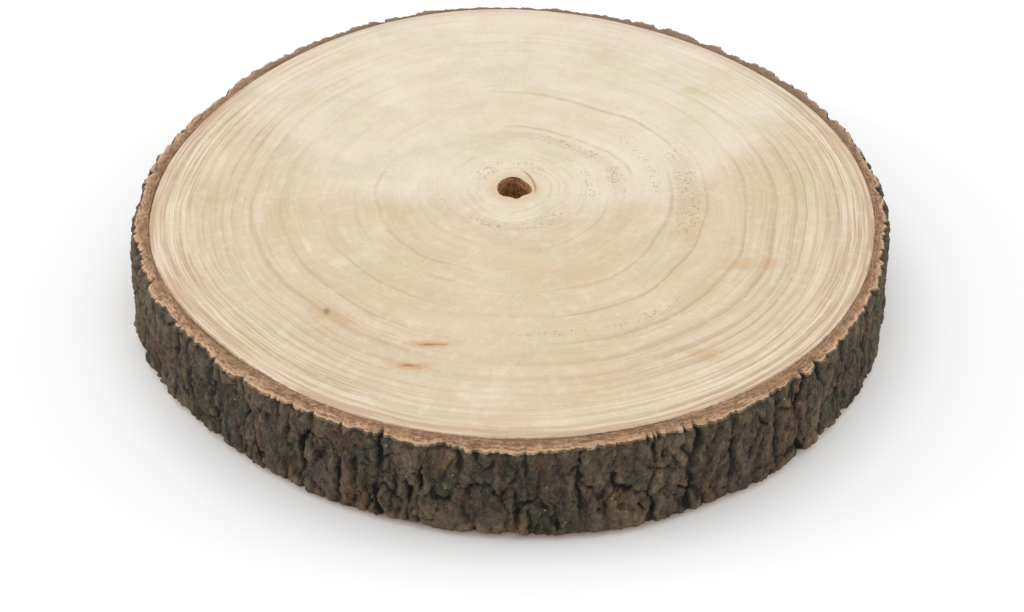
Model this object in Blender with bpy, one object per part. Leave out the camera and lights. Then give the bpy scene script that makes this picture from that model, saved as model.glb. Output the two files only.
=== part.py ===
"""A slice sawn across a tree trunk, with its bark on: one solid that grew as one piece.

The cut faces are level, z = 0 at the bottom and z = THICKNESS at the top. The hollow pith runs
right through, off the middle. All lengths are in metres and all angles in radians unless a name
says otherwise. Angles run anticlockwise from +X, seen from above.
"""

import math
import random

import bmesh
import bpy

# Driving dimensions
MEAN_RADIUS = 0.1448  # of the wood, from the slice's middle to the cambium
THICKNESS = 0.040
BARK_THICKNESS = 0.0072  # from the cambium to the crest of a bark plate, near the top
RIM_DROP = 0.0020  # the bark's cut end falls away this much towards its outer edge
RIM_INSET = 0.0016  # and that edge is broken back this much from the crest
FLARE = 0.0012  # the bark stands out this much further at the bottom
LOBE_ORDER = 3  # the bark is thickest in three directions, more so at the bottom
LOBE_DIRECTION = math.radians(52)
LOBE_TOP = 0.0006
LOBE_BOTTOM = 0.0014

# The trunk wasn't round: share of the radius for each harmonic, as (order, cosine, sine)
TRUNK_HARMONICS = (
    (2, -0.024, -0.005),
    (3, 0.001, -0.007),
    (4, 0.007, 0.005),
    (5, -0.003, 0.001),
)

# Hollow pith
PITH_CENTRE = (0.0005, 0.0094)
PITH_RADIUS = 0.0068
PITH_CORNERS = (  # (direction in degrees, half width in degrees, how far it reaches out)
    (-82, 14, 0.0014),
    (-27, 20, 0.0009),
    (40, 26, -0.0009),
    (100, 34, 0.0008),
    (228, 24, 0.0008),
)

# Bark: upright plates between wandering fissures
PLATE_COUNT = 68
PLATE_WIDTH_SPREAD = 0.38
FISSURE_HALF_WIDTH = 0.0020
FISSURE_DEPTH = (0.0008, 0.0032)
FISSURE_WANDER = 0.0014
PLATE_RELIEF = 0.0006
SIDE_LEVELS = (RIM_DROP, 0.009, 0.020, 0.031, THICKNESS - RIM_DROP)
SEED = 7

WOOD, BARK, PITH = range(3)  # material slots


def clear_scene():
    for obj in list(bpy.data.objects):
        bpy.data.objects.remove(obj, do_unlink=True)


def material(name, color, roughness):
    mat = bpy.data.materials.new(name)
    mat.use_nodes = True
    shader = mat.node_tree.nodes["Principled BSDF"]
    shader.inputs["Base Color"].default_value = (*color, 1)
    shader.inputs["Roughness"].default_value = roughness
    shader.inputs["Metallic"].default_value = 0
    return mat


def wood_radius(angle):
    """Distance from the slice's middle to the cambium."""
    share = sum(a * math.cos(k * angle) + b * math.sin(k * angle) for k, a, b in TRUNK_HARMONICS)
    return MEAN_RADIUS * (1 + share)


def crest_radius(angle, z):
    """Distance from the slice's middle to the crest of the bark's plates."""
    low = 1 - z / THICKNESS
    lobe = math.cos(LOBE_ORDER * (angle - LOBE_DIRECTION)) * (LOBE_TOP + (LOBE_BOTTOM - LOBE_TOP) * low)
    return wood_radius(angle) + BARK_THICKNESS + FLARE * low + lobe


def pith_radius(angle):
    """Distance from the pith's centre to the wall of the hollow."""
    radius = PITH_RADIUS
    for direction, half_width, reach in PITH_CORNERS:
        away = (math.degrees(angle) - direction + 180) % 360 - 180
        radius += reach * math.exp(-((away / half_width) ** 2))
    return radius


def plate_edges(rng):
    """Angles of the fissures at mid height, one for each bark plate."""
    widths = [1 + rng.uniform(-PLATE_WIDTH_SPREAD, PLATE_WIDTH_SPREAD) for _ in range(PLATE_COUNT)]
    scale = 2 * math.pi / sum(widths)
    edges = []
    angle = 0.0
    for width in widths:
        edges.append(angle)
        angle += width * scale
    return edges


def side_columns(rng):
    """One entry for each upright line of the bark: its angle and its depth below the crest, per level.

    A plate has four lines: the bottom of the fissure on its right, its two shoulders, and its
    middle between them.
    """
    edges = plate_edges(rng)
    fissure_span = FISSURE_HALF_WIDTH / MEAN_RADIUS
    wanders = []
    for _ in edges:
        phase = rng.uniform(0, 2 * math.pi)
        turns = rng.uniform(0.4, 1.1)
        wanders.append([
            FISSURE_WANDER / MEAN_RADIUS * math.sin(phase + 2 * math.pi * turns * z / THICKNESS)
            for z in SIDE_LEVELS
        ])
    columns = []
    for i, edge in enumerate(edges):
        after = (i + 1) % len(edges)
        next_edge = edges[after] if after else 2 * math.pi
        right = [edge + w for w in wanders[i]]
        left = [next_edge + w for w in wanders[after]]
        middle = [(a + b) / 2 for a, b in zip(right, left)]
        fissure = [rng.uniform(*FISSURE_DEPTH) for _ in SIDE_LEVELS]
        crown = [rng.uniform(0, PLATE_RELIEF) for _ in SIDE_LEVELS]
        shoulder = [depth + 0.4 * PLATE_RELIEF for depth in crown]
        columns.append((right, fissure))
        columns.append(([a + fissure_span for a in right], shoulder))
        columns.append((middle, crown))
        columns.append(([a - fissure_span for a in left], shoulder))
    return columns


def ring(bm, angles, radius_of, z, centre=(0.0, 0.0)):
    """A closed loop of vertices, one at each angle."""
    return [
        bm.verts.new((centre[0] + radius_of(a) * math.cos(a), centre[1] + radius_of(a) * math.sin(a), z))
        for a in angles
    ]


def bark_ring(bm, columns, level, inset):
    """The loop of the bark's surface at one of SIDE_LEVELS."""
    verts = []
    for angles, depths in columns:
        angle = angles[level]
        z = SIDE_LEVELS[level]
        radius = crest_radius(angle, z) - inset - depths[level]
        verts.append(bm.verts.new((radius * math.cos(angle), radius * math.sin(angle), z)))
    return verts


def bridge(bm, lower, upper, slot):
    """Quads between two loops, facing out when the loops run anticlockwise and upper is above."""
    count = len(lower)
    for i in range(count):
        j = (i + 1) % count
        face = bm.faces.new((lower[i], lower[j], upper[j], upper[i]))
        face.material_index = slot


def build_mesh():
    rng = random.Random(SEED)
    columns = side_columns(rng)
    last = len(SIDE_LEVELS) - 1
    bottom_angles = [angles[0] for angles, _ in columns]
    top_angles = [angles[last] for angles, _ in columns]

    bm = bmesh.new()
    pith_bottom = ring(bm, bottom_angles, pith_radius, 0.0, PITH_CENTRE)
    wood_bottom = ring(bm, bottom_angles, wood_radius, 0.0)
    side = []
    for level in range(len(SIDE_LEVELS)):
        side.append(bark_ring(bm, columns, level, RIM_INSET if level in (0, last) else 0.0))
    wood_top = ring(bm, top_angles, wood_radius, THICKNESS)
    pith_top = ring(bm, top_angles, pith_radius, THICKNESS, PITH_CENTRE)

    loops = [pith_bottom, wood_bottom, *side, wood_top, pith_top, pith_bottom]
    slots = [WOOD] + [BARK] * (len(loops) - 4) + [WOOD, PITH]
    for lower, upper, slot in zip(loops, loops[1:], slots):
        bridge(bm, lower, upper, slot)
    return bm


def centre_on_footprint(bm):
    """Moves the slice so that the origin is at the middle of its outline's box."""
    for axis in (0, 1):
        values = [v.co[axis] for v in bm.verts]
        middle = (min(values) + max(values)) / 2
        for v in bm.verts:
            v.co[axis] -= middle


def make_wood_slice():
    bm = build_mesh()
    centre_on_footprint(bm)
    mesh = bpy.data.meshes.new("wood_slice")
    bm.to_mesh(mesh)
    bm.free()
    mesh.shade_smooth()
    mesh.set_sharp_from_angle(angle=math.radians(35))
    mesh.materials.append(material("sawn_wood", (0.78, 0.67, 0.48), 0.75))
    mesh.materials.append(material("bark", (0.07, 0.055, 0.042), 0.95))
    mesh.materials.append(material("pith", (0.16, 0.08, 0.035), 0.9))
    obj = bpy.data.objects.new("wood_slice", mesh)
    bpy.context.scene.collection.objects.link(obj)
    return obj


def main():
    clear_scene()
    make_wood_slice()


main()
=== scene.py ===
"""Looks of the wood slice: a pale sawn disc with its growth rings, inside a ring of dark furrowed bark.

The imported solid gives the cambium's outline, the hollow pith and the thickness. Two closed pieces are
built on them, the wood and the bark, and both stand for the one solid. Lengths are in metres.
"""

import math
import random

import bpy
import numpy as np
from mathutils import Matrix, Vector, noise


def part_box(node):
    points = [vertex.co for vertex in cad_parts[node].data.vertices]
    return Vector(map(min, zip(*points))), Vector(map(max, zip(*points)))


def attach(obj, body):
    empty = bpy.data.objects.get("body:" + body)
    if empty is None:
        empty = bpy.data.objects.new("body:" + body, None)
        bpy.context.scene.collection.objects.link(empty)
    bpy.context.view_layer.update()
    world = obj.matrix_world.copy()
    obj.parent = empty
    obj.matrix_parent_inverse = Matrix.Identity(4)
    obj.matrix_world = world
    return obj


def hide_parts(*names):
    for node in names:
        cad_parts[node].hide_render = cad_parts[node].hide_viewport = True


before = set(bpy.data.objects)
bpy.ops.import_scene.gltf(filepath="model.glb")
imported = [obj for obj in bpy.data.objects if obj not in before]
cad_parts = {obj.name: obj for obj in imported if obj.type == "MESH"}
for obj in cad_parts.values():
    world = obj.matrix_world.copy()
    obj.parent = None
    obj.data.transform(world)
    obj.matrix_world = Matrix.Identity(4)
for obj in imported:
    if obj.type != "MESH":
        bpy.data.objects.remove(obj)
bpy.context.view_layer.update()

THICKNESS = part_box("wood_slice")[1][2]
TAU = 2 * math.pi
SEED_SHIFT = 17.31  # how far each seed moves a noise's origin
TONE_SPREAD = 7.7  # spreads cells' centres, so that each draws its own tone

# View
CAMERA_AT = (-0.0004, -0.8615, 0.6261)
AIM_AT = (0.0009, -0.0709, 0.0400)
LENS_MM = 92.3

# Stage
FLOOR_SIZE = 8
WORLD_STRENGTH = 0.74
LIGHTS = (  # (name, place, size, power)
    ("key", (-0.2, 0.45, 2.3), 2.4, 15),
    ("left", (-2.1, 0.1, 0.7), 1.2, 16),
    ("right", (2.1, 0.2, 0.7), 1.2, 13),
)


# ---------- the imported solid's own outlines

PITH_WITHIN = 0.05  # the top face's inner loop is nearer the origin than this
CREST_REACH = np.radians(np.arange(-5, 5.1, 0.5))  # the furthest point this near to a heading is its crest
CAMBIUM_SWELLINGS = (  # (heading and half width in degrees, metres outwards)
    (320, 30, 0.0013),
    (225, 13, -0.0011),
    (195, 12, 0.0005),
)
FOOT_SWELL = (0.0006, 0.0006)  # the plates stand out at the foot: evenly, and in lobes
FOOT_LOBES = 4
FOOT_DIRECTION = math.radians(195)


class Outline:
    """A closed outline as radius by angle about a centre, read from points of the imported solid."""

    def __init__(self, points, centre):
        away = np.asarray(points)[:, :2] - centre
        angles = np.arctan2(away[:, 1], away[:, 0])
        order = np.argsort(angles)
        self.angles = angles[order]
        self.radii = np.hypot(away[:, 0], away[:, 1])[order]

    def __call__(self, angle):
        return np.interp(angle, self.angles, self.radii, period=TAU)


def solid_points():
    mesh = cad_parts["wood_slice"].data
    co = np.empty(len(mesh.vertices) * 3, np.float32)
    mesh.vertices.foreach_get("co", co)
    return co.reshape(-1, 3).astype(float)


def crest_outline(points, middle):
    """The bark's crests at one level of the solid, without the fissures between them."""
    level = Outline(points, middle)
    angles = np.linspace(-math.pi, math.pi, 360, endpoint=False)
    crest = level(angles[:, None] + CREST_REACH).max(1)
    crest = np.mean([np.roll(crest, k) for k in range(-5, 6)], 0)
    return Outline(np.stack([crest * np.cos(angles), crest * np.sin(angles)], 1) + middle, middle)


def swollen(points, middle):
    """The loop with each point moved out or in by the cambium's own swellings."""
    away = points[:, :2] - middle
    angles = np.arctan2(away[:, 1], away[:, 0])
    grown = np.zeros(len(points))
    for heading, half, most in CAMBIUM_SWELLINGS:
        turn = (angles - math.radians(heading) + math.pi) % TAU - math.pi
        grown += most * np.exp(-((turn / math.radians(half)) ** 2))
    moved = points.copy()
    moved[:, :2] += away / np.hypot(away[:, 0], away[:, 1])[:, None] * grown[:, None]
    return moved


SOLID = solid_points()
TOP = SOLID[SOLID[:, 2] > THICKNESS - 1e-5]
SPREAD = np.hypot(TOP[:, 0], TOP[:, 1])
PITH_LOOP = TOP[SPREAD < PITH_WITHIN]
CAMBIUM_LOOP = TOP[SPREAD > PITH_WITHIN]
PITH = (PITH_LOOP.min(0) + PITH_LOOP.max(0))[:2] / 2
MIDDLE = (CAMBIUM_LOOP.min(0) + CAMBIUM_LOOP.max(0))[:2] / 2
CAMBIUM_LOOP = swollen(CAMBIUM_LOOP, MIDDLE)
pith_rim = Outline(PITH_LOOP, PITH)
cambium_from_pith = Outline(CAMBIUM_LOOP, PITH)
cambium = Outline(CAMBIUM_LOOP, MIDDLE)
RADIUS = float(cambium(np.linspace(0, TAU, 360)).mean())
SIDE_LEVELS = sorted({round(z, 4) for z in SOLID[:, 2]})[2:-2]  # without the two faces and the two rims
LOW_LEVEL, HIGH_LEVEL = SIDE_LEVELS[0], SIDE_LEVELS[-1]
low_crest, high_crest = (
    crest_outline(SOLID[np.abs(SOLID[:, 2] - level) < 1e-4], MIDDLE) for level in (LOW_LEVEL, HIGH_LEVEL)
)


def crest_radius(angles, heights):
    """Distance from the middle to the crest of the bark's plates, for each (row, column)."""
    heights = np.asarray(heights)[:, None]
    share = (heights - LOW_LEVEL) / (HIGH_LEVEL - LOW_LEVEL)
    foot = FOOT_SWELL[0] + FOOT_SWELL[1] * np.cos(FOOT_LOBES * (angles - FOOT_DIRECTION))
    return low_crest(angles) * (1 - share) + high_crest(angles) * share + foot * (1 - heights / THICKNESS)


# ---------- small helpers


def smooth(low, high, value):
    t = np.clip((value - low) / (high - low), 0, 1)
    return t * t * (3 - 2 * t)


def noise_at(points, scale, stretch=(1, 1, 1), seed=0.0):
    """Perlin noise from -1 to 1 at each point, with features about 1/scale wide."""
    shape = points.shape[:-1]
    flat = points.reshape(-1, 3) * (np.array(stretch) * scale) + seed * SEED_SHIFT
    return np.array([noise.noise(Vector(p)) for p in flat]).reshape(shape)


def cells_at(points, scale, stretch=(1, 1, 1), seed=0.0):
    """Voronoi cells: the gap between the two nearest centres' distances, and a tone for each cell."""
    shape = points.shape[:-1]
    flat = points.reshape(-1, 3) * (np.array(stretch) * scale) + seed * SEED_SHIFT
    gap = np.empty(len(flat))
    tone = np.empty(len(flat))
    for i, p in enumerate(flat):
        distances, centres = noise.voronoi(Vector(p))
        gap[i] = distances[1] - distances[0]
        tone[i] = noise.cell(centres[0] * TONE_SPREAD)
    return gap.reshape(shape), tone.reshape(shape)


def blur(field, reach):
    """Average over a window that reaches that many rows and columns each way, wrapping round the trunk."""
    window = 2 * reach + 1
    padded = np.pad(field, ((reach, reach), (0, 0)), mode="edge")
    summed = np.cumsum(np.vstack([np.zeros((1, field.shape[1])), padded]), 0)
    field = (summed[window:] - summed[:-window]) / window
    padded = np.pad(field, ((0, 0), (reach, reach)), mode="wrap")
    summed = np.cumsum(np.hstack([np.zeros((len(field), 1)), padded]), 1)
    return (summed[:, window:] - summed[:, :-window]) / window


def grid_faces(columns, rows):
    """Quads of a grid that closes both ways, with vertex index row * columns + column, facing out."""
    column, row = np.meshgrid(np.arange(columns), np.arange(rows))
    column, row = column.ravel(), row.ravel()
    next_column, next_row = (column + 1) % columns, (row + 1) % rows
    corners = (
        next_row * columns + column,
        next_row * columns + next_column,
        row * columns + next_column,
        row * columns + column,
    )
    return np.stack(corners, 1), column, row


def new_mesh(name, vertices, faces, face_slots, uvs):
    """A mesh from arrays of quads, with one UV map that has a pair for each corner."""
    mesh = bpy.data.meshes.new(name)
    mesh.vertices.add(len(vertices))
    mesh.vertices.foreach_set("co", np.asarray(vertices, np.float32).ravel())
    mesh.loops.add(faces.size)
    mesh.loops.foreach_set("vertex_index", faces.astype(np.int32).ravel())
    mesh.polygons.add(len(faces))
    mesh.polygons.foreach_set("loop_start", np.arange(0, faces.size, 4, dtype=np.int32))
    mesh.polygons.foreach_set("material_index", np.asarray(face_slots, np.int32))
    mesh.update(calc_edges=True)
    layer = mesh.uv_layers.new(name="OFBake")
    layer.uv.foreach_set("vector", np.asarray(uvs, np.float32).ravel())
    mesh.validate()
    mesh.shade_smooth()
    return mesh


def store(mesh, name, values):
    """Keep a value for each vertex, which the materials read by name."""
    attribute = mesh.attributes.new(name, "FLOAT", "POINT")
    attribute.data.foreach_set("value", np.asarray(values, np.float32).ravel())


def add_object(name, mesh, materials):
    for mat in materials:
        mesh.materials.append(mat)
    obj = bpy.data.objects.new(name, mesh)
    bpy.context.scene.collection.objects.link(obj)
    return obj


# ---------- wood

# How far out the trunk had grown at the end of each year, as a share of the wood's radius
YEAR_ENDS = (
    0.11, 0.155, 0.20, 0.27, 0.34, 0.45, 0.55, 0.665, 0.745, 0.797,
    0.823, 0.853, 0.879, 0.907, 0.934, 0.966, 1.0,
)
HOLLOW_GROWTH = 0.05  # the growth and the year at the hollow's rim
HOLLOW_YEAR = 0.4
WOOD_COLUMNS = 360
WOOD_EDGE_ROUND = 0.00035

RING_WOBBLE = 0.020  # share of the radius by which a ring strays from the trunk's outline
RING_STRAY = ((1.3, 3, 1.0), (3.7, 5, 0.45))  # (noise scale, seed, weight)
RING_RISE = 1.6  # how fast the straying changes from ring to ring

# Patches of the wood's UV map, as (lowest corner, size)
TOP_PATCH = ((0.005, 0.325), 0.67)
UNDER_PATCH = ((0.68, 0.68), 0.315)
HOLLOW_PATCH = ((0.70, 0.35), (0.25, 0.25))
CAMBIUM_PATCH = ((0.02, 0.05), (0.6, 0.05))
FACE_BOX = 2.1 * RADIUS  # the side of the square that a face's patch shows


def ring_radii(angles):
    """Radius from the pith at each (ring, column): the hollow's rim, then the end of every year."""
    share = np.array(YEAR_ENDS)[:, None]
    direction = np.stack([np.cos(angles), np.sin(angles), np.zeros_like(angles)], 1)
    points = np.repeat(direction[None], len(YEAR_ENDS), 0)
    points[:, :, 2] = share * RING_RISE
    stray = sum(weight * noise_at(points, scale, seed=seed) for scale, seed, weight in RING_STRAY)
    fade = smooth(0.08, 0.3, share) * (1 - smooth(0.8, 1.0, share))
    radii = cambium_from_pith(angles) * share * (1 + RING_WOBBLE * fade * stray / np.maximum(share, 0.4))
    return np.vstack([pith_rim(angles), radii])


def wood_mesh():
    """The sawn disc as loops: out over the top from the hollow, down the cambium, and in underneath."""
    angles = np.linspace(0, TAU, WOOD_COLUMNS, endpoint=False)
    outside = cambium_from_pith(angles)
    radii = np.vstack([ring_radii(angles)[:-1], outside - WOOD_EDGE_ROUND, outside])
    rings = np.array([HOLLOW_GROWTH, *YEAR_ENDS, 1.0])
    years = np.array([HOLLOW_YEAR, *range(1, len(YEAR_ENDS) + 1), len(YEAR_ENDS)])
    heights = np.full(len(rings), THICKNESS)
    heights[-1] -= WOOD_EDGE_ROUND
    share = radii / outside
    radii, share = np.vstack([radii, radii[::-1]]), np.vstack([share, share[::-1]])
    rings, years = np.concatenate([rings, rings[::-1]]), np.concatenate([years, years[::-1]])
    heights = np.concatenate([heights, THICKNESS - heights[::-1]])
    x = PITH[0] + radii * np.cos(angles)
    y = PITH[1] + radii * np.sin(angles)
    z = np.repeat(heights[:, None], WOOD_COLUMNS, 1)
    points = np.stack([x, y, z], -1).reshape(-1, 3)

    faces, column, row = grid_faces(WOOD_COLUMNS, len(heights))
    in_hollow = row == len(heights) - 1
    mesh = new_mesh("wood", points, faces, np.where(in_hollow, 1, 0), wood_uv(points, faces, column, row))
    for name, values in (("ring", rings), ("years", years)):
        store(mesh, name, np.repeat(values[:, None], WOOD_COLUMNS, 1))
    store(mesh, "growth", share)
    mesh.set_sharp_from_angle(angle=math.radians(50))
    return mesh


def wood_uv(points, faces, column, row):
    """The two sawn faces as discs, the top one larger, with the two walls unrolled beside them."""
    last = row.max()
    side = (last + 1) // 2 - 1
    corners = points[faces]
    flat = (corners[:, :, :2] - MIDDLE) / FACE_BOX + 0.5
    (top_at, top_size), (under_at, under_size) = TOP_PATCH, UNDER_PATCH
    uv = np.where((row < side)[:, None, None], flat * top_size + top_at, flat * under_size + under_at)
    turn = faces % WOOD_COLUMNS
    turn = np.where((turn == 0) & (column[:, None] == WOOD_COLUMNS - 1), WOOD_COLUMNS, turn) / WOOD_COLUMNS
    unrolled = np.stack([turn, corners[:, :, 2] / THICKNESS], -1)
    for wall, (corner, size) in ((last, HOLLOW_PATCH), (side, CAMBIUM_PATCH)):
        uv[row == wall] = corner + size * unrolled[row == wall]
    return uv


# ---------- bark

BARK_SEED = 23
BARK_COLUMNS = 1320
SIDE_ROWS = 54
BAND_ROWS = 9  # across its sawn end
UV_LENGTHS = 4  # of unrolled bark in its UV map
UV_GAP = (0.003, 0.02)  # left free at a length's ends, and below and above

LEAST_BARK = 0.0012  # from the cambium to the bottom of the deepest fissure
RIM_DROP = 0.0020  # the bark's sawn end falls this far below the wood's face
EDGE_ROUND = 0.0004
RIM_INSET = (0.0002, 0.0024)  # least and most that a plate's top is broken back from its crest
FRONT_INSET = 0.0004  # more than that, on the side that faces -Y
FOOT_INSET = 0.5  # the same at the foot, as a share of the top's
BREAK_HEIGHT = 0.0012  # least height of the broken edge
TUCK = (0.0005, 0.0016)  # the bark's inner wall is this far inside the cambium, and below the face

# Long furrows, and shorter ones between them
FISSURE_SPACING = 0.0150
FISSURE_SHIFT = 0.38  # most that a furrow is off its even place, as a share of the spacing
FISSURE_DEPTH = (0.0014, 0.0034)
SHORT_FURROWS = 2  # for each long one
LONG_STRENGTH = (0.75, 1.0)
SHORT_STRENGTH = (0.3, 0.75)
SHORT_REACH = (0.08, 0.4)  # half its height, as a share of the thickness
LONG_REACH = 9.0  # past both ends
FURROW_SLANT = 0.016
FURROW_SWAY = (0.0005, 0.0020)
FURROW_CORE = (0.0008, 0.0015)  # half width of its steep middle
FURROW_SHOULDER = (0.0020, 0.0034)  # half width of the hollow that it lies in
SHOULDER_SHARE = 0.16  # of the depth
FURROW_NEAR = 0.014  # nothing of a furrow is further away than this

# Short cracks and pits
CRACK_COUNT = 300
PIT_HALF = 0.0006
CRACK_HALF = (0.0010, 0.0040)
CRACK_WIDTH = (0.0006, 0.0010)
CRACK_DEPTH = (0.0006, 0.0014)
CRACK_SLANTS = ((0, 14), (65, 16), (-65, 16))  # (middle and spread in degrees)
CRACK_NEAR = 0.003  # beyond its end

# The surface's bending and relief, in metres
WARP = ((110, (11, 12, 13), 0.0026), (330, (14, 15, 16), 0.0009))  # (noise scale, seeds, most)
JAG = ((120, 22, 0.0011), (260, 17, 0.0009), (620, 18, 0.0006))  # (noise scale, seed, most)
PLATE_CELLS, PLATE_STEP, SEAM_DEPTH = 84, 0.0006, 0.0010
CHIP_CELLS, CHIP_STEP, CHIP_SEAM_DEPTH = 250, 0.0005, 0.0004
UPRIGHT = (1, 1, 0.5)
SWELL_HEIGHT = 0.0006
LUMP_HEIGHT = 0.00012
FLAKE_HEIGHT = 0.00042
ROUGH_HEIGHT = 0.0004
GRIT_HEIGHT = 0.00035

# Fields that colour the bark, and from which its painted highlight and shade are made
RIDGE_REACH = 5  # in rows and columns
RIDGE_RANGE = 0.0018
FISSURE_SHADE = (0.0004, 0.0020)  # depth where the shade starts, and from there to full
CRACK_SHADE = (0.0003, 0.0013)

# The bark's sawn end
LEAST_STEP = 0.0001  # down from the wood's face to the bark's end
SHRINKAGE_DEPTH = 0.0013  # of the gap where the bark has come away
BAST_DEPTH = 0.00025  # of the dip along the soft inner bark
END_GRAIN = ((620, 1, 0.00024), (260, 2, 0.0002))  # (noise scale, step from the end's seed, height)
LEAST_DEPTH = 0.00003


def arc_gap(angles, centre):
    """Distance along the bark from each angle to another, in metres, signed."""
    return ((angles - centre + math.pi) % TAU - math.pi) * RADIUS


def main_fissures(rng):
    """Angles of the furrows that run the bark's whole height."""
    count = round(TAU * RADIUS / FISSURE_SPACING)
    return [TAU * (i + rng.uniform(-FISSURE_SHIFT, FISSURE_SHIFT)) / count for i in range(count)]


def furrow_list(centres, rng):
    """The long furrows and the short ones, as (angle, strength, middle, reach, slant)."""
    furrows = [(centre, rng.uniform(*LONG_STRENGTH), 0.5, LONG_REACH, 0.0) for centre in centres]
    for _ in range(SHORT_FURROWS * len(centres)):
        slant = rng.choice((0.0, 0.0, rng.uniform(-FURROW_SLANT, FURROW_SLANT)))
        angle = rng.uniform(0, TAU)
        strength = rng.uniform(*SHORT_STRENGTH)
        middle = rng.uniform(0, 1)
        furrows.append((angle, strength, middle, rng.uniform(*SHORT_REACH), slant))
    return furrows


def fissure_depth(angles, heights, centres, jag, rng):
    """Depth below the crest, at each (row, column), of the long furrows and the shorter ones between."""
    depth = np.zeros((len(heights), len(angles)))
    v = heights / THICKNESS
    for centre, strength, middle, reach, slant in furrow_list(centres, rng):
        most = strength * rng.uniform(*FISSURE_DEPTH)
        sway = rng.uniform(*FURROW_SWAY)
        phases = [rng.uniform(0, TAU) for _ in range(4)]
        wander = sway * (np.sin(phases[0] + 5.1 * v) + 0.5 * np.sin(phases[1] + 13.0 * v))
        wander += slant * (v - middle)
        ends = 1 - smooth(reach, reach + 0.14, abs(v - middle))
        along = most * (0.7 + 0.3 * np.sin(phases[3] + 9.0 * v)) * ends
        core = rng.uniform(*FURROW_CORE) * (0.55 + 0.45 * strength)
        core = core * (1 + 0.45 * np.sin(phases[2] + 19.0 * v))
        shoulder = rng.uniform(*FURROW_SHOULDER)
        near = np.abs(arc_gap(angles, centre)) < FURROW_NEAR
        away = np.abs(arc_gap(angles[near], centre)[None] - wander[:, None] + jag[:, near])
        cut = (1 - SHOULDER_SHARE) * np.clip(1 - away / core[:, None], 0, 1) ** 0.6
        cut += SHOULDER_SHARE * (1 - smooth(0, shoulder, away))
        depth[:, near] = np.maximum(depth[:, near], along[:, None] * cut)
    return depth


def crack_depth(angles, heights, jag, rng):
    """Short cracks, mostly level or slanting, and small pits."""
    depth = np.zeros((len(heights), len(angles)))
    for _ in range(CRACK_COUNT):
        centre = rng.uniform(0, TAU)
        middle = rng.uniform(0, THICKNESS)
        half = rng.choice((PIT_HALF, rng.uniform(*CRACK_HALF)))
        slant = math.radians(rng.choice([rng.gauss(*slants) for slants in CRACK_SLANTS]))
        width = rng.uniform(*CRACK_WIDTH)
        most = rng.uniform(*CRACK_DEPTH)
        near = np.abs(arc_gap(angles, centre)) < half + CRACK_NEAR
        s = arc_gap(angles[near], centre)[None] + jag[:, near]
        h = (heights - middle)[:, None] + 0.6 * jag[:, near]
        along = np.clip(s * math.cos(slant) + h * math.sin(slant), -half, half)
        away = np.hypot(s - along * math.cos(slant), h - along * math.sin(slant))
        depth[:, near] = np.maximum(depth[:, near], most * (1 - smooth(0.15 * width, width, away)))
    return depth


def rim_inset(angles, centres, rng):
    """How far the end of each plate is broken back from its crest, at each column."""
    inset = np.zeros(len(angles))
    edges = sorted(centres)
    for right, left in zip(edges, edges[1:] + [edges[0] + TAU]):
        share = ((angles - right) % TAU) / (left - right)
        inside = share < 1
        most = rng.uniform(0, RIM_INSET[1] - RIM_INSET[0]) * rng.uniform(0.3, 1)
        inset[inside] = most * np.sin(math.pi * share[inside]) ** 0.6
    return RIM_INSET[0] + inset + FRONT_INSET * (1 - np.sin(angles)) / 2


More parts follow.
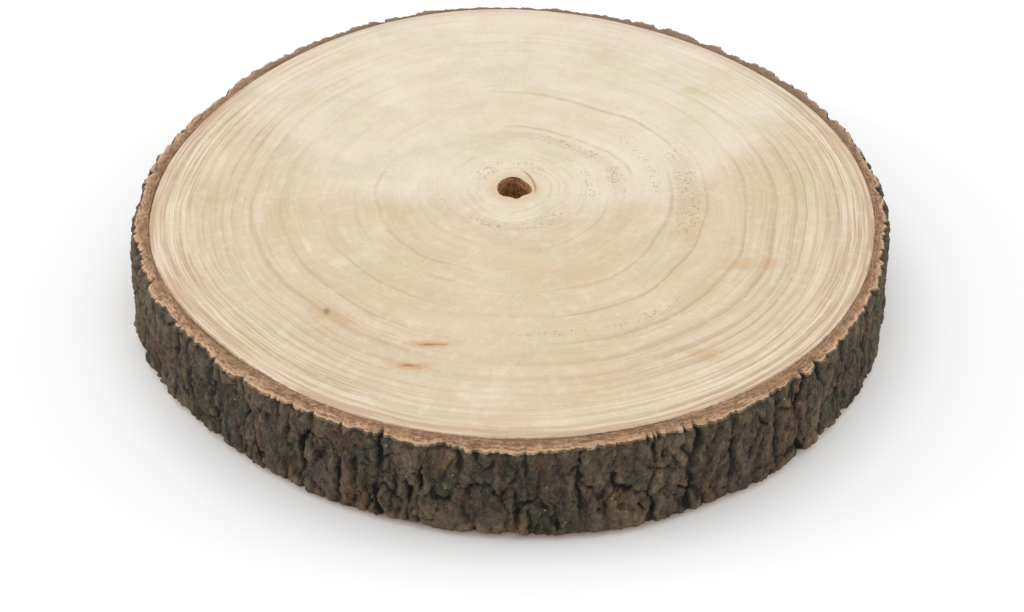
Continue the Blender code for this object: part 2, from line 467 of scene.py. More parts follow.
def bark_relief(angles, heights):
    """Depth below the crest and the fields that colour the bark, at each (row, column) of its side."""
    rng = random.Random(BARK_SEED)
    on_trunk = np.stack([np.cos(angles), np.sin(angles), np.zeros_like(angles)], 1) * RADIUS
    points = np.repeat(on_trunk[None], len(heights), 0)
    points[:, :, 2] = heights[:, None]
    warp = sum(
        np.stack([noise_at(points, scale, seed=seed) for seed in seeds], -1) * most
        for scale, seeds, most in WARP
    )
    jag = sum(noise_at(points, scale, seed=seed) * most for scale, seed, most in JAG)
    gap, tone = cells_at(points + warp, PLATE_CELLS, UPRIGHT, seed=2)
    fine_gap, fine_tone = cells_at(points + warp, CHIP_CELLS, UPRIGHT, seed=6)
    swell = noise_at(points, 26, seed=1)
    lumps = 1 - 2 * np.abs(noise_at(points + warp, 170, (1, 1, 0.6), seed=8))
    flakes = noise_at(points + 0.5 * warp, 300, (1, 1, 0.3), seed=21)
    rough = noise_at(points, 420, (1, 1, 0.7), seed=19)
    grit = noise_at(points, 800, seed=9)
    patchy = smooth(-0.10, 0.40, noise_at(points, 60, seed=10))

    centres = main_fissures(rng)
    fissures = fissure_depth(angles, heights, centres, jag, rng)
    cracks = crack_depth(angles, heights, jag, rng)
    seams = SEAM_DEPTH * (1 - smooth(0.0, 0.11, gap)) * (0.15 + 0.85 * patchy)
    small = CHIP_SEAM_DEPTH * (1 - smooth(0.0, 0.16, fine_gap)) * (0.2 + 0.8 * patchy)
    depth = np.maximum(fissures, seams) + 0.5 * np.minimum(fissures, seams) + cracks + small
    depth += PLATE_STEP * (0.5 - tone) + CHIP_STEP * (0.5 - fine_tone) - LUMP_HEIGHT * lumps
    depth -= SWELL_HEIGHT * swell + FLAKE_HEIGHT * flakes + ROUGH_HEIGHT * rough + GRIT_HEIGHT * grit
    from_edge = np.minimum(heights, THICKNESS - heights)[:, None] - RIM_DROP
    at_top, at_foot = (rim_inset(angles, centres, rng) for _ in range(2))
    broken = np.where((heights > THICKNESS / 2)[:, None], at_top, FOOT_INSET * at_foot)
    broken *= 1 + 0.5 * noise_at(points, 150, seed=20)
    depth += broken * (1 - smooth(0, 1, from_edge / (BREAK_HEIGHT + 1.1 * broken)))

    # ridge: how far a spot stands above its surroundings; crevice: how deep the fissures and cracks are.
    # Both become painted highlight and shade
    ridge = np.clip(0.5 + (blur(depth, RIDGE_REACH) - depth) / RIDGE_RANGE, 0, 1)
    crevice = np.clip((fissures - FISSURE_SHADE[0]) / FISSURE_SHADE[1], 0, 1)
    shallow = seams + cracks + small
    crevice = np.maximum(crevice, np.clip((shallow - CRACK_SHADE[0]) / CRACK_SHADE[1], 0, 1))
    return depth, {"crevice": crevice, "ridge": ridge, "plate": 0.6 * tone + 0.4 * fine_tone}


def bark_end(angles, rim_radii, seed):
    """Radius, depth below the wood's face and place across, at each (row, column) of its sawn end."""
    across = np.repeat(np.linspace(0, 1, BAND_ROWS)[:, None], len(angles), 1)
    inner = cambium(angles)
    radii = inner + (rim_radii - EDGE_ROUND - inner) * across
    points = np.stack([radii * np.cos(angles), radii * np.sin(angles), np.zeros_like(radii)], -1)
    parted = smooth(0.08, 0.32, noise_at(points[:1], 16, seed=seed))
    shrinkage = SHRINKAGE_DEPTH * parted * np.exp(-((across / 0.09) ** 2))
    slope = LEAST_STEP + (RIM_DROP - LEAST_STEP) * smooth(0.1, 1.15, across) ** 1.3
    bast = BAST_DEPTH * np.exp(-(((across - 0.2) / 0.16) ** 2))
    grain = sum(height * noise_at(points, scale, seed=seed + step) for scale, step, height in END_GRAIN)
    return radii, np.maximum(slope + bast + shrinkage - grain, LEAST_DEPTH), across


def bark_mesh():
    """The bark as loops round its section: out over the top end, down the side, in under the bottom."""
    angles = np.linspace(0, TAU, BARK_COLUMNS, endpoint=False)
    edge = RIM_DROP + EDGE_ROUND
    side_heights = np.linspace(THICKNESS - edge, edge, SIDE_ROWS)
    depth, fields = bark_relief(angles, side_heights)
    side = np.maximum(crest_radius(angles, side_heights) - depth, cambium(angles) + LEAST_BARK)

    top_radii, top_depth, top_across = bark_end(angles, side[0], seed=31)
    low_radii, low_depth, low_across = bark_end(angles, side[-1], seed=41)
    one = np.ones((1, BARK_COLUMNS))
    inner = one * (cambium(angles) - TUCK[0])
    radii = np.vstack([inner, top_radii, side, low_radii[::-1], inner])
    heights = np.vstack([
        one * (THICKNESS - TUCK[1]),
        THICKNESS - top_depth,
        np.repeat(side_heights[:, None], BARK_COLUMNS, 1),
        low_depth[::-1],
        one * TUCK[1],
    ])
    points = np.stack([MIDDLE[0] + radii * np.cos(angles), MIDDLE[1] + radii * np.sin(angles), heights], -1)

    rows = len(radii)
    faces, column, row = grid_faces(BARK_COLUMNS, rows)
    sawn = (row <= BAND_ROWS) | ((row >= BAND_ROWS + SIDE_ROWS) & (row < rows - 1))
    mesh = new_mesh("bark", points.reshape(-1, 3), faces, np.where(sawn, 0, 1), bark_uv(faces, column, row))
    store(mesh, "across", np.vstack([one * 0, top_across, np.ones_like(side), low_across[::-1], one * 0]))
    for name, field in fields.items():
        top, low = (np.repeat(row, BAND_ROWS + 1, 0) for row in (field[:1], field[-1:]))
        store(mesh, name, np.vstack([top, field, low]))
    return mesh


def bark_uv(faces, column, row):
    """The bark unrolled in equal lengths, one above the other."""
    rows = row.max() + 1
    per_length = BARK_COLUMNS // UV_LENGTHS
    strip = (column // per_length)[:, None]
    turn = faces % BARK_COLUMNS
    turn = np.where((turn == 0) & (column[:, None] == BARK_COLUMNS - 1), BARK_COLUMNS, turn)
    level = faces // BARK_COLUMNS
    level = np.where((level == 0) & (row[:, None] == rows - 1), rows, level)
    u = UV_GAP[0] + (1 - 2 * UV_GAP[0]) * (turn - strip * per_length) / per_length
    v = (strip + UV_GAP[1] + (1 - 2 * UV_GAP[1]) * level / rows) / UV_LENGTHS
    return np.stack([u, v], -1)


# ---------- node helpers


def srgb(color):
    """A colour given as 0 to 255 display values, as the linear RGBA that nodes take."""
    return (*((c / 255 / 12.92) if c <= 10 else ((c / 255 + 0.055) / 1.055) ** 2.4 for c in color), 1.0)


class Nodes:
    """Short ways to wire a material's node tree. Values are numbers or sockets."""

    def __init__(self, name):
        self.material = bpy.data.materials.new(name)
        self.material.use_nodes = True
        self.tree = self.material.node_tree
        self.shader = self.tree.nodes["Principled BSDF"]
        self.position = self.add("ShaderNodeTexCoord").outputs["Object"]

    def add(self, kind, **settings):
        node = self.tree.nodes.new(kind)
        for key, value in settings.items():
            setattr(node, key, value)
        return node

    def put(self, socket, value):
        if isinstance(value, bpy.types.NodeSocket):
            self.tree.links.new(value, socket)
        else:
            socket.default_value = value

    def math(self, operation, *values):
        node = self.add("ShaderNodeMath", operation=operation)
        for socket, value in zip(node.inputs, values):
            self.put(socket, value)
        return node.outputs[0]

    def times(self, product, *factors):
        for factor in factors:
            product = self.math("MULTIPLY", product, factor)
        return product

    def plus(self, total, *terms):
        for term in terms:
            total = self.math("ADD", total, term)
        return total

    def vector(self, operation, first, second=None, output=0):
        node = self.add("ShaderNodeVectorMath", operation=operation)
        self.put(node.inputs[0], first)
        if second is not None:
            self.put(node.inputs[1], second)
        return node.outputs[output]

    def attribute(self, name):
        return self.add("ShaderNodeAttribute", attribute_name=name).outputs["Fac"]

    def ramp(self, value, low, high, to_low=0.0, to_high=1.0):
        """A smooth step between two results, as the value goes from low to high."""
        node = self.add("ShaderNodeMapRange", interpolation_type="SMOOTHSTEP")
        for socket, item in zip(node.inputs, (value, low, high, to_low, to_high)):
            self.put(socket, item)
        return node.outputs[0]

    def fall(self, value, low, high, most=1.0):
        """A smooth step down to nothing, as the value goes from low to high."""
        return self.ramp(value, low, high, most, 0.0)

    def mix(self, share, first, second, blend="MIX"):
        node = self.add("ShaderNodeMix", data_type="RGBA", blend_type=blend)
        self.put(node.inputs["Factor"], share)
        self.put(node.inputs[6], first)
        self.put(node.inputs[7], second)
        return node.outputs[2]

    def tint(self, color, share, tint):
        """The colour with a share of a tint, in display values, laid over it."""
        return self.mix(share, color, srgb(tint))

    def tint_high(self, color, field, low, high, share, tint):
        """The tint comes in as the field goes from low to high."""
        return self.tint(color, self.ramp(field, low, high, 0.0, share), tint)

    def tint_low(self, color, field, low, high, share, tint):
        """The tint goes out as the field goes from low to high."""
        return self.tint(color, self.fall(field, low, high, share), tint)

    def noise(self, scale, detail=2.0, rough=0.5, vector=None, stretch=None, distortion=0.0):
        if stretch:
            vector = self.vector("MULTIPLY", self.position, stretch)
        node = self.add("ShaderNodeTexNoise")
        self.put(node.inputs["Vector"], vector or self.position)
        node.inputs["Scale"].default_value = scale
        node.inputs["Detail"].default_value = detail
        node.inputs["Roughness"].default_value = rough
        node.inputs["Distortion"].default_value = distortion
        return node.outputs["Fac"]

    def centred_noise(self, scale, detail=2.0, rough=0.5):
        return self.math("SUBTRACT", self.noise(scale, detail, rough), 0.5)

    def cells(self, scale, output="Distance"):
        node = self.add("ShaderNodeTexVoronoi")
        self.put(node.inputs["Vector"], self.position)
        node.inputs["Scale"].default_value = scale
        return node.outputs[output]

    def colors(self, value, stops):
        node = self.add("ShaderNodeValToRGB")
        elements = node.color_ramp.elements
        while len(elements) < len(stops):
            elements.new(0.5)
        for element, (place, color) in zip(elements, stops):
            element.position = place
            element.color = srgb(color)
        self.put(node.inputs[0], value)
        return node.outputs["Color"]

    def outward(self, centre):
        """The level direction from an upright axis, of length one."""
        away = self.vector("SUBTRACT", self.position, (*centre, 0))
        return self.vector("NORMALIZE", self.vector("MULTIPLY", away, (1, 1, 0)))

    def facing(self, outward, heading, half, soft):
        """1 where a place lies within so many degrees of a heading from the axis, fading over some more."""
        turn = math.radians(heading)
        along = self.vector("DOT_PRODUCT", outward, (math.cos(turn), math.sin(turn), 0), output="Value")
        return self.ramp(along, math.cos(math.radians(half)), math.cos(math.radians(half - soft)))

    def wrapped(self, outward, turn, height, rise):
        """Coordinates for noise that runs round the trunk: direction times turn, and height times rise."""
        lift = self.add("ShaderNodeCombineXYZ")
        self.put(lift.inputs["Z"], self.times(height, rise))
        return self.vector("ADD", self.vector("MULTIPLY", outward, (turn, turn, 0)), lift.outputs[0])

    def bump(self, height, distance, strength=1.0):
        node = self.add("ShaderNodeBump")
        node.inputs["Strength"].default_value = strength
        node.inputs["Distance"].default_value = distance
        self.put(node.inputs["Height"], height)
        return node.outputs[0]

    def finish(self, color, roughness, normal):
        self.put(self.shader.inputs["Base Color"], color)
        self.put(self.shader.inputs["Roughness"], roughness)
        self.put(self.shader.inputs["Normal"], normal)
        return self.material


# ---------- sawn wood

# The far part of the face has dried paler: a disc, in wood radii from the pith
DRY_CENTRE = (0.03, 0.68)
DRY_REACH = (0.72, 0.88)
DRY_DRIFT = 0.03

CLEAR_SIDES = ((-15, 75, 35), (188, 75, 25))  # rings show best here: (heading, half width, fade), degrees

CHECK_CENTRE = (-0.0091, 0.0076)  # centre of the crescent crack's circle
CHECK_RADIUS = 0.0194
CHECK_HEADING = 17  # degrees
CHECK_HALF = 30
CHECK_STRAY = 0.0010

PORE_ARCS = (  # (share of the growth, half width, heading and half reach in degrees)
    (0.120, 0.040, 100, 70),
    (0.170, 0.034, -85, 55),
    (0.215, 0.022, 15, 35),
    (0.290, 0.030, 42, 62),
    (0.500, 0.060, -2, 32),
    (0.400, 0.020, 20, 30),
    (0.620, 0.020, -70, 25),
)
LINE_ARCS = (  # (share of the growth, half width, heading and half reach in degrees, share of tint)
    (0.165, 0.030, -85, 40, 0.24),
    (0.285, 0.026, 42, 60, 0.20),
    (0.330, 0.009, 52, 50, 0.40),
    (0.445, 0.010, -15, 28, 0.24),
    (0.510, 0.009, 57, 45, 0.36),
    (0.500, 0.050, -5, 30, 0.20),
    (0.380, 0.009, -150, 60, 0.28),
)

# Colours of the wood
NEAR_WOOD, DRY_WOOD, HEART = (216, 199, 171), (228, 216, 197), (228, 218, 196)
PINK_CAST, OLIVE_CAST = (218, 192, 164), (204, 200, 164)
DARK_CLOUD, PALE_CLOUD, BROAD_BAND = (202, 180, 142), (238, 229, 211), (200, 178, 142)
DARK_BAND, PALE_BAND = (196, 168, 138), (240, 230, 212)
HAIR_LINE, PALE_HAIR = (180, 148, 118), (242, 230, 212)
LATE_WOOD, YOUNG_RING, ARC_LINE = (168, 143, 111), (188, 162, 118), (176, 144, 96)
RAY, FIBRE, PALE_FIBRE, PORE = (186, 162, 128), (180, 152, 112), (240, 230, 210), (160, 124, 70)
HOLLOW_RIM, CHECK = (206, 176, 134), (142, 98, 58)
BLUSH, PALE_RIM, LAST_LINE, FRAYED = (190, 156, 126), (236, 221, 200), (236, 214, 190), (142, 104, 74)

ORANGE, TAN, GREENISH, BROWN = (198, 146, 84), (196, 158, 112), (192, 184, 132), (120, 82, 48)
STAINS = (  # (place in wood radii, 1 for the top face, half sizes in wood radii, share, tint)
    ((-0.483, -0.523, 1), (0.066, 0.038), 0.65, TAN),
    ((-0.480, -0.515, 1), (0.014, 0.020), 0.60, BROWN),
    ((-0.430, -0.560, 1), (0.034, 0.018), 0.40, TAN),
    ((-0.212, -0.655, 1), (0.095, 0.020), 0.60, ORANGE),
    ((-0.205, -0.656, 1), (0.050, 0.007), 0.60, BROWN),
    ((-0.260, -0.745, 1), (0.080, 0.024), 0.65, ORANGE),
    ((-0.262, -0.742, 1), (0.040, 0.008), 0.60, BROWN),
    ((0.620, -0.306, 1), (0.105, 0.052), 0.32, TAN),
    ((0.600, -0.316, 1), (0.052, 0.024), 0.30, ORANGE),
    ((0.676, -0.300, 1), (0.050, 0.032), 0.30, ORANGE),
    ((0.490, -0.702, 1), (0.060, 0.034), 0.48, ORANGE),
    ((0.516, 0.560, 1), (0.050, 0.036), 0.55, GREENISH),
    ((0.35, 0.40, 0), (0.070, 0.030), 0.5, TAN),
    ((-0.42, 0.12, 0), (0.045, 0.060), 0.4, GREENISH),
    ((-0.10, -0.66, 0), (0.080, 0.022), 0.6, ORANGE),
    ((-0.10, -0.66, 0), (0.040, 0.008), 0.5, BROWN),
)
STAIN_DEPTH = 0.01  # keeps a stain to its own face


class SawnWood(Nodes):
    """The sawn faces' material, with the fields that its colour and relief are made of."""

    def __init__(self):
        super().__init__("sawn_wood")
        self.growth = self.attribute("growth")
        self.from_pith = self.outward(PITH)
        waver = self.centred_noise(60, 3, 0.55)
        sway = self.times(self.centred_noise(26, 3, 0.55), self.ramp(self.growth, 0.6, 0.85, 0.05, 0.0))
        self.ring = self.plus(self.attribute("ring"), self.plus(self.times(waver, 0.012), sway))
        strayed = self.times(waver, self.ramp(self.growth, 0.5, 0.8, 0.12, 0.24))
        self.years = self.plus(self.attribute("years"), strayed)
        self.phase = self.math("FRACT", self.years)
        clear = [self.facing(self.from_pith, *side) for side in CLEAR_SIDES]
        self.clear_side = self.ramp(self.math("MAXIMUM", *clear), 0, 1, 0.35, 1.0)
        self.dry = self.dry_zone()
        self.still = self.ramp(self.dry, 0, 1, 1.0, 0.50)  # how much of the rings still shows there
        self.late = self.late_wood()
        self.pore = self.pores()
        self.rays = self.banded_noise(120, 7, 3, 0.6)
        self.fuzz = self.noise(950, 2, 0.6)
        self.mottle = self.noise(260, 3, 0.6)
        self.clouds = self.noise(46, 4, 0.62, distortion=0.6)

    def banded_noise(self, turn, rise, detail, rough):
        """Noise drawn out along the rings, or across them where turn is more than rise."""
        return self.noise(1, detail, rough, vector=self.wrapped(self.from_pith, turn, self.ring, rise))

    def along_arc(self, place, spread, heading, half):
        """A mask along part of one ring."""
        off = self.math("ABSOLUTE", self.math("SUBTRACT", self.ring, place))
        part = self.facing(self.from_pith, heading, half, 0.4 * half)
        return self.times(self.fall(off, 0.3 * spread, spread), part)

    def dry_zone(self):
        x, y = (PITH[axis] + DRY_CENTRE[axis] * RADIUS for axis in range(2))
        away = self.vector("SUBTRACT", self.position, (x, y, THICKNESS))
        reach = self.vector("LENGTH", self.vector("MULTIPLY", away, (1, 1, 2)), output="Value")
        reach = self.plus(reach, self.times(self.centred_noise(18), DRY_DRIFT))
        return self.fall(reach, *(share * RADIUS for share in DRY_REACH))

    def late_wood(self):
        """Dark towards each year's end: a thin line where growth was fast, half of a narrow ring."""
        begins = self.ramp(self.growth, 0.62, 0.80, 0.88, 0.60)
        rise, fall = self.ramp(self.phase, begins, 0.95), self.fall(self.phase, 0.965, 1.0)
        strength = self.add("ShaderNodeTexWhiteNoise", noise_dimensions="1D")
        self.put(strength.inputs["W"], self.math("FLOOR", self.years))
        patches = self.ramp(self.noise(13, 3, 0.55), 0.38, 0.60, 0.35, 1.0)
        uneven = self.times(self.ramp(strength.outputs[0], 0, 1, 0.5, 1.0), patches)
        shown = self.times(self.clear_side, self.ramp(self.growth, 0.3, 0.75, 0.6, 1.0))
        return self.times(rise, fall, uneven, shown)

    def pores(self):
        """Dots that stand in clumps, most of them along a few arcs."""
        dot = self.fall(self.cells(640), 0.18, 0.44)
        some = self.ramp(self.cells(640, output="Color"), 0.12, 0.42)
        clumps = self.ramp(self.noise(60, 3, 0.6), 0.32, 0.50)
        early = self.fall(self.phase, 0.02, 0.45, 0.45)
        early = self.times(early, self.ramp(self.growth, 0.5, 0.8, 1.0, 0.2))
        strewn = self.times(early, self.ramp(self.noise(34, 2, 0.5), 0.47, 0.62))
        for arc in PORE_ARCS:
            strewn = self.math("MAXIMUM", strewn, self.times(self.along_arc(*arc), clumps))
        return self.times(dot, some, strewn)

    def ground(self):
        """The wood's colour without its rings: near and dry parts, heart, casts and clouds."""
        color = self.mix(self.dry, srgb(NEAR_WOOD), srgb(DRY_WOOD))
        color = self.tint_low(color, self.growth, 0.13, 0.24, 0.75, HEART)
        color = self.tint_high(color, self.noise(24, 3, 0.55), 0.42, 0.68, 0.30, PINK_CAST)
        olive = self.noise(30, 3, 0.55, stretch=(1, 1.3, 1))
        color = self.tint_high(color, olive, 0.44, 0.66, 0.45, OLIVE_CAST)
        cloudy = self.times(self.still, self.ramp(self.clouds, 0.50, 0.70, 0.0, 0.36))
        color = self.tint(color, cloudy, DARK_CLOUD)
        return self.tint_low(color, self.clouds, 0.30, 0.46, 0.32, PALE_CLOUD)

    def ringed(self, color):
        """Broad, middling and hair-thin bands between the years, then the years and the drawn arcs."""
        broad = self.banded_noise(1.6, 18, 2, 0.5)
        bands = self.banded_noise(2.0, 52, 3, 0.6)
        hairs = self.banded_noise(3.0, 150, 2, 0.6)
        wide = self.times(self.still, self.ramp(broad, 0.42, 0.66, 0.0, 0.32))
        color = self.tint(color, wide, BROAD_BAND)
        clear = self.times(self.clear_side, self.still)
        bold = self.times(self.ramp(self.growth, 0.50, 0.80, 0.30, 1.0), clear)
        color = self.tint(color, self.times(bold, self.ramp(bands, 0.5, 0.70, 0.0, 0.20)), DARK_BAND)
        color = self.tint(color, self.times(bold, self.fall(bands, 0.32, 0.48, 0.22)), PALE_BAND)
        fine = self.times(bold, self.ramp(self.growth, 0.84, 0.96, 0.30, 0.70))
        color = self.tint(color, self.times(self.ramp(hairs, 0.50, 0.64), fine), HAIR_LINE)
        pale = self.times(self.fall(hairs, 0.38, 0.47, 0.45), self.ramp(self.growth, 0.84, 0.94))
        color = self.tint(color, self.times(pale, self.clear_side), PALE_HAIR)
        color = self.tint(color, self.times(self.late, self.still, 0.54), LATE_WOOD)
        young = self.ramp(self.banded_noise(0.9, 120, 2, 0.5), 0.48, 0.62)
        young = self.times(young, self.ramp(self.growth, 0.12, 0.34, 0.20, 0.06))
        color = self.tint(color, young, YOUNG_RING)
        for *place, share in LINE_ARCS:
            mask = self.times(self.along_arc(*place), self.ramp(self.clouds, 0.3, 0.55, 0.35, 1.0))
            color = self.tint(color, self.times(mask, share), ARC_LINE)
        return color

    def grained(self, color):
        """Rays, sawn fibres and pores."""
        color = self.tint_high(color, self.rays, 0.40, 0.75, 0.09, RAY)
        color = self.tint_high(color, self.fuzz, 0.35, 0.8, 0.14, FIBRE)
        color = self.tint_low(color, self.mottle, 0.30, 0.50, 0.18, PALE_FIBRE)
        return self.tint(color, self.times(self.pore, 0.50), PORE)

    def check(self):
        """The thin crescent crack that stands beside the hollow, on the top face."""
        away = self.vector("SUBTRACT", self.position, (*CHECK_CENTRE, THICKNESS))
        off = self.math("SUBTRACT", self.vector("LENGTH", away, output="Value"), CHECK_RADIUS)
        off = self.math("ABSOLUTE", self.plus(off, self.times(self.centred_noise(300), CHECK_STRAY)))
        along = self.facing(self.vector("NORMALIZE", away), CHECK_HEADING, CHECK_HALF, 0.5 * CHECK_HALF)
        return self.times(self.fall(off, 0.0001, 0.0009, 0.6), along)

    def edged(self, color):
        """Brown round the hollow, and pink, pale and frayed next to the bark."""
        color = self.tint_low(color, self.growth, 0.05, 0.095, 0.60, HOLLOW_RIM)
        color = self.tint(color, self.check(), CHECK)
        rim_bands = self.banded_noise(4.0, 110, 1, 0.5)
        blush = self.times(self.ramp(self.growth, 0.95, 0.99), self.ramp(rim_bands, 0.42, 0.58, 0.30, 0.75))
        color = self.tint(color, self.times(blush, self.ramp(self.dry, 0, 1, 1.0, 0.5)), BLUSH)
        pale = self.times(self.ramp(self.growth, 0.94, 0.98), self.fall(rim_bands, 0.36, 0.46, 0.40))
        color = self.tint(color, self.times(pale, self.clear_side), PALE_RIM)
        faint = self.ramp(self.noise(30, 3, 0.6), 0.42, 0.62, 0.0, 0.55)
        starts, ends = self.ramp(self.growth, 0.986, 0.991), self.fall(self.growth, 0.994, 0.998)
        color = self.tint(color, self.times(starts, ends, faint), LAST_LINE)
        frayed = self.plus(self.growth, self.times(self.centred_noise(420, 3, 0.65), 0.016))
        return self.tint_high(color, frayed, 0.996, 1.001, 0.58, FRAYED)

    def stained(self, color, place, size, share, tint):
        """A soft blot on one face, broken up by the grain."""
        x, y, on_top = place
        centre = (MIDDLE[0] + x * RADIUS, MIDDLE[1] + y * RADIUS, THICKNESS if on_top else 0.0)
        away = self.vector("SUBTRACT", self.position, centre)
        away = self.vector("DIVIDE", away, (size[0] * RADIUS, size[1] * RADIUS, STAIN_DEPTH))
        broken = self.times(self.centred_noise(230, 3, 0.6), 1.5)
        blot = self.plus(self.vector("LENGTH", away, output="Value"), broken)
        return self.tint_low(color, blot, 0.05, 1.05, share, tint)


def sawn_wood():
    n = SawnWood()
    color = n.edged(n.grained(n.ringed(n.ground())))
    for blot in STAINS:
        color = n.stained(color, *blot)
    grain = n.plus(n.times(n.fuzz, 0.5), n.times(n.rays, 0.4))
    relief = n.math("SUBTRACT", grain, n.plus(n.times(n.late, -0.3), n.pore))
    return n.finish(color, n.ramp(n.mottle, 0.3, 0.7, 0.62, 0.78), n.bump(relief, 0.00022, 0.6))


# ---------- bark and pith

END_LAYERS = (  # (place across the bark's sawn end from the cambium out, colour)
    (0.00, (164, 130, 100)),
    (0.20, (150, 114, 84)),
    (0.40, (150, 114, 84)),
    (0.56, (172, 134, 102)),
    (0.76, (196, 158, 124)),
    (1.00, (194, 156, 122)),
)
WEATHERED_SIDE = (80, 80, 45)  # heading, half width and fade, in degrees

FLECK_AND_HIGHLIGHT = (0.086, 0.064, 0.035, 1)  # added to the outer bark: painted highlight on its high spots, and pale flecks and crumbs
GRIME = (0.17, 0.15, 0.14, 1)  # where a field is low, the outer bark's colour is multiplied by this
SCUFF_HEIGHT = (0.002, 0.013)  # scuffs end between these heights
BARK_PATCHES = (  # (noise scale, detail, stretch, where it starts and is full, share, tint)
    (48, 4, None, 0.46, 0.60, 0.62, (55, 62, 43)),
    (62, 4, (1, 1, 0.7), 0.50, 0.62, 0.62, (94, 70, 64)),
    (85, 4, (1.1, 1, 0.5), 0.55, 0.67, 0.58, (112, 74, 43)),
    (70, 3, (1, 1.1, 0.9), 0.56, 0.66, 0.65, (54, 57, 56)),
)


def sawn_bark():
    """The bark's cut end: layered, granular, in places open along the wood, dark at its outer edge."""
    n = Nodes("sawn_bark")
    across = n.attribute("across")
    outward = n.outward(MIDDLE)
    ragged = n.centred_noise(380, 3, 0.65)
    drift = n.centred_noise(36, 3, 0.55)
    place = n.plus(across, n.plus(n.times(ragged, 0.6), n.times(drift, 0.8)))
    layers = n.noise(1, 3, 0.6, vector=n.wrapped(outward, 26, across, 7))
    lumpy = n.noise(330, 3, 0.65)
    granular = n.noise(900, 3, 0.7)
    color = n.colors(place, END_LAYERS)
    color = n.tint_high(color, layers, 0.46, 0.62, 0.75, (104, 74, 50))
    color = n.tint_low(color, layers, 0.30, 0.45, 0.30, (210, 174, 138))
    color = n.tint_high(color, n.noise(90, 3, 0.6), 0.5, 0.7, 0.45, (176, 122, 82))
    color = n.tint_high(color, n.noise(110, 3, 0.6), 0.52, 0.68, 0.40, (150, 130, 92))
    color = n.tint_high(color, lumpy, 0.52, 0.66, 0.40, (112, 80, 54))
    color = n.tint_low(color, lumpy, 0.34, 0.46, 0.35, (206, 172, 138))
    color = n.tint_high(color, granular, 0.48, 0.66, 0.45, (92, 64, 44))
    color = n.tint_low(color, granular, 0.30, 0.44, 0.28, (218, 186, 154))

    parted = n.ramp(n.noise(20, 3, 0.55), 0.46, 0.62)
    seam = n.fall(n.plus(across, n.times(ragged, 0.30)), 0.02, 0.14)
    color = n.tint(color, n.times(seam, parted, 0.85), (74, 50, 34))
    color = n.tint(color, n.times(n.facing(outward, *WEATHERED_SIDE), 0.60), (114, 100, 82))
    # painted highlight: a pale line along the sawn end's outer crest
    crest = n.times(n.ramp(across, 0.80, 0.90), n.fall(across, 0.95, 1.0))
    color = n.tint(color, n.times(crest, 0.5), (222, 188, 152))
    # painted shade where the outer bark's fissures reach the sawn end
    crevice = n.times(n.attribute("crevice"), n.ramp(across, 0.45, 0.9))
    color = n.tint(color, n.times(crevice, 0.9), (54, 40, 30))
    edge = n.plus(across, n.plus(n.times(ragged, 0.35), n.times(drift, 0.35)))
    color = n.tint(color, n.times(n.ramp(edge, 0.95, 1.02), 0.85), (80, 66, 52))
    height = n.plus(granular, n.times(layers, 0.6))
    return n.finish(color, n.ramp(granular, 0.3, 0.7, 0.8, 0.95), n.bump(height, 0.0005, 0.8))


# Adds the pale colour where the field is high: painted highlight when the field is the ridge, pale flecks
# and crumbs when it is noise
def add_fleck_and_highlight(n, color, field, low, high, share):
    return n.mix(n.ramp(field, low, high, 0.0, share), color, FLECK_AND_HIGHLIGHT, "ADD")


def grimy(n, color, field, low, high, share):
    return n.mix(n.fall(field, low, high, share), color, GRIME, "MULTIPLY")


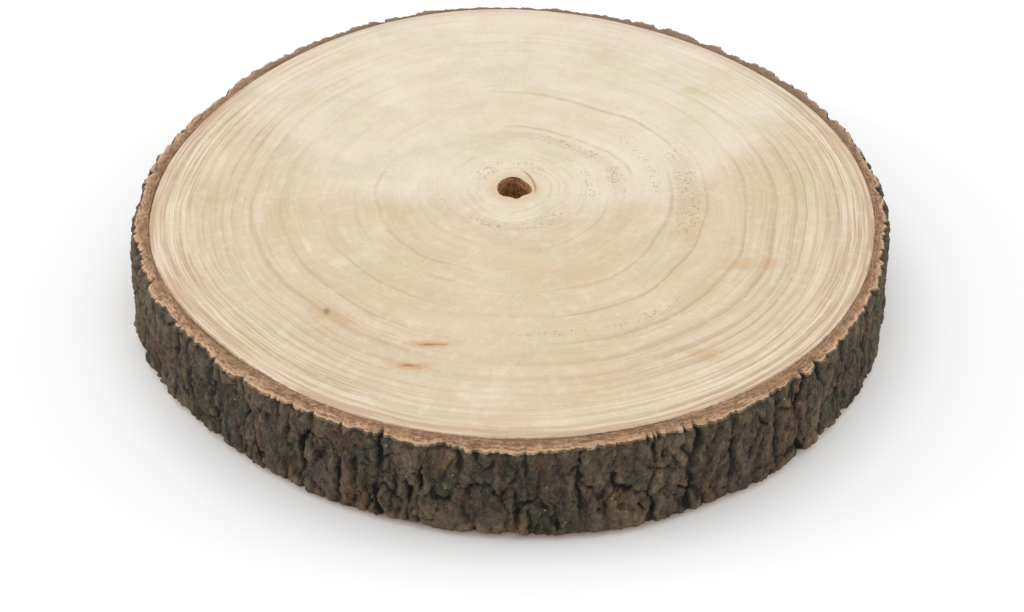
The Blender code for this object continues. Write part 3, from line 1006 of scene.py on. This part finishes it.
def outer_bark():
    """Brown-grey plates with moss, mauve, rust and slate patches, crumbs and scuffs, with painted highlight
    on the high spots and painted shade in the hollows and crevices.
    """
    n = Nodes("outer_bark")
    ridge = n.attribute("ridge")
    patches = n.noise(55, 4, 0.6, stretch=(1, 1, 0.5), distortion=0.5)
    streaks = n.noise(300, 4, 0.7, stretch=(1, 1, 0.3))
    crumbs = n.noise(680, 4, 0.85)
    flecks = n.noise(330, 4, 0.7, stretch=(1, 1, 0.6), distortion=0.4)
    tones = n.noise(34, 3, 0.6, stretch=(1, 1, 0.6))
    color = n.mix(n.ramp(patches, 0.34, 0.66), srgb((60, 51, 39)), srgb((97, 83, 65)))
    color = n.tint_low(color, tones, 0.36, 0.50, 0.55, (46, 40, 32))
    color = n.tint_high(color, tones, 0.50, 0.62, 0.55, (122, 105, 83))
    for scale, detail, stretch, low, high, share, tint in BARK_PATCHES:
        color = n.tint_high(color, n.noise(scale, detail, 0.6, stretch=stretch), low, high, share, tint)
    color = n.tint_high(color, n.attribute("plate"), 0.2, 0.9, 0.25, (98, 86, 68))

    # painted highlight: spots that stand above their surroundings are made paler
    color = add_fleck_and_highlight(n, color, ridge, 0.50, 0.92, 0.55)
    color = add_fleck_and_highlight(n, color, flecks, 0.50, 0.66, 0.75)
    color = grimy(n, color, flecks, 0.32, 0.46, 0.75)
    color = grimy(n, color, streaks, 0.30, 0.48, 0.60)
    color = add_fleck_and_highlight(n, color, crumbs, 0.51, 0.68, 1.0)
    color = grimy(n, color, crumbs, 0.30, 0.46, 0.70)

    above = n.add("ShaderNodeSeparateXYZ")
    n.put(above.inputs[0], n.position)
    low_down = n.fall(above.outputs["Z"], *SCUFF_HEIGHT)
    scuffed = n.times(low_down, n.ramp(n.noise(130, 3, 0.6), 0.53, 0.66))
    color = n.tint(color, n.times(scuffed, n.ramp(ridge, 0.40, 0.60, 0.15, 0.65)), (158, 124, 90))
    # painted shade: spots that lie below their surroundings are darkened
    color = n.tint_low(color, ridge, 0.12, 0.42, 0.55, (34, 28, 22))
    # painted shade: near black in the fissures and cracks
    color = n.tint_high(color, n.attribute("crevice"), 0.25, 0.65, 0.92, (18, 14, 11))
    speck = n.fall(n.cells(300), 0.08, 0.14)
    chosen = n.ramp(n.cells(300, output="Color"), 0.80, 0.82)
    color = n.tint(color, n.times(speck, chosen, 0.75), (190, 178, 156))
    height = n.plus(n.times(streaks, 0.6), n.plus(crumbs, n.times(flecks, 0.8)))
    return n.finish(color, n.ramp(patches, 0.3, 0.7, 0.86, 0.98), n.bump(height, 0.0016, 1.0))


def pith_wall():
    """The hollow's brown, blotchy wall."""
    n = Nodes("pith_wall")
    blotches = n.noise(420, 4, 0.65)
    color = n.mix(n.ramp(blotches, 0.38, 0.62), srgb((146, 102, 62)), srgb((206, 156, 108)))
    return n.finish(color, n.ramp(blotches, 0.3, 0.7, 0.8, 0.95), n.bump(n.noise(500, 4, 0.7), 0.0009, 0.9))


# ---------- stage


def add_floor():
    bpy.ops.mesh.primitive_plane_add(size=FLOOR_SIZE)
    floor = bpy.context.object
    floor.name = "floor"
    n = Nodes("floor_paper")
    color = n.mix(n.ramp(n.noise(3), 0.3, 0.7), (0.97, 0.97, 0.97, 1), (0.98, 0.98, 0.98, 1))
    floor.data.materials.append(n.finish(color, 0.9, n.bump(n.noise(400), 0.0002, 0.2)))


def add_area(name, place, size, power):
    """A round light that faces the origin."""
    light = bpy.data.lights.new(name, "AREA")
    light.shape = "DISK"
    light.size = size
    light.energy = power
    obj = bpy.data.objects.new(name, light)
    bpy.context.scene.collection.objects.link(obj)
    obj.location = place
    obj.rotation_euler = (-Vector(place)).to_track_quat("-Z", "Y").to_euler()


def add_world():
    world = bpy.data.worlds.new("studio")
    world.use_nodes = True
    background = world.node_tree.nodes["Background"]
    background.inputs["Color"].default_value = (1, 1, 1, 1)
    background.inputs["Strength"].default_value = WORLD_STRENGTH
    bpy.context.scene.world = world


def add_camera():
    data = bpy.data.cameras.new("camera")
    data.lens = LENS_MM
    camera = bpy.data.objects.new("camera", data)
    bpy.context.scene.collection.objects.link(camera)
    camera.location = CAMERA_AT
    camera.rotation_euler = (Vector(AIM_AT) - camera.location).to_track_quat("-Z", "Y").to_euler()
    bpy.context.scene.camera = camera


def build():
    add_camera()
    add_world()
    for light in LIGHTS:
        add_area(*light)
    add_floor()
    bpy.context.scene.view_settings.view_transform = "Standard"

    wood = add_object("wood", wood_mesh(), (sawn_wood(), pith_wall()))
    bark = add_object("bark", bark_mesh(), (sawn_bark(), outer_bark()))
    for piece in (wood, bark):
        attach(piece, "root")
        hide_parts("wood_slice")


build()
